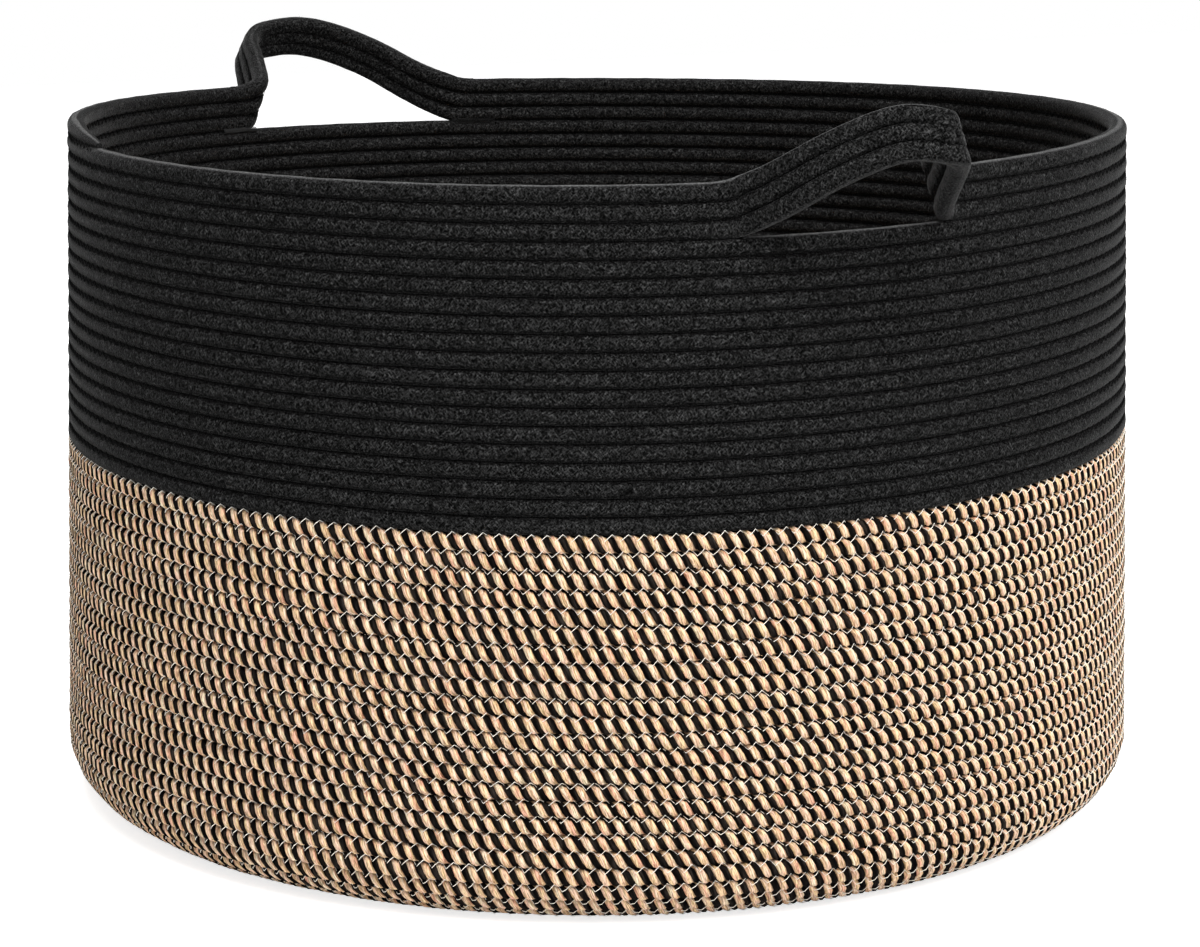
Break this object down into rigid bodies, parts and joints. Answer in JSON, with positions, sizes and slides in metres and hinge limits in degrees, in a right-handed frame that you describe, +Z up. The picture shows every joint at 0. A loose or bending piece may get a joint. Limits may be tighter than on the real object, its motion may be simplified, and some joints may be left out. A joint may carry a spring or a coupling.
{
  "type": "coiled rope storage basket",
  "caption": "Round coiled cotton-rope basket, black above and two-tone twisted rope below, with soft rope handles that flex in and out at the rim.",
  "frame": {"origin": "middle of the base's underside, where the basket stands", "axes": "+Z up along the basket's axis, +X towards the right handle, -X towards the left handle, -Y to the front"},
  "size_m": [0.653, 0.5674, 0.3852],
  "materials": {
    "two_tone_rope": "twisted cotton rope, tan and black strands, matte",
    "black_rope": "black felted cotton rope, matte with a fine fuzz",
    "natural_thread": "off-white sewing thread, matte",
    "black_thread": "black sewing thread, matte"
  },
  "bodies": {
    "root": {"base_centre": "two_tone_rope", "base_coil": "two_tone_rope", "edge_courses": "two_tone_rope", "two_tone_wall_lower": "two_tone_rope", "two_tone_wall_upper": "two_tone_rope", "black_wall_lower": "black_rope", "black_wall_upper": "black_rope", "rim_front": "black_rope", "rim_rear": "black_rope", "base_thread": "natural_thread", "two_tone_thread": "natural_thread", "black_thread": "black_thread", "rim_thread_front": "black_thread", "rim_thread_rear": "black_thread"},
    "right_handle": {"right_handle_lower_rope": "black_rope", "right_handle_middle_rope": "black_rope", "right_handle_upper_rope": "black_rope"},
    "left_handle": {"left_handle_lower_rope": "black_rope", "left_handle_middle_rope": "black_rope", "left_handle_upper_rope": "black_rope"}
  },
  "joints": [
    {"name": "right_handle_flex", "type": "hinge", "parent": "root", "child": "right_handle", "pos_m": [0.26532, -0.01995, 0.32119], "axis": [0.075, 0.9972, 0], "range_deg": [-50, 15]},
    {"name": "left_handle_flex", "type": "hinge", "parent": "root", "child": "left_handle", "pos_m": [-0.26188, -0.01969, 0.32119], "axis": [0.075, -0.9972, 0], "range_deg": [-50, 15]}
  ]
}
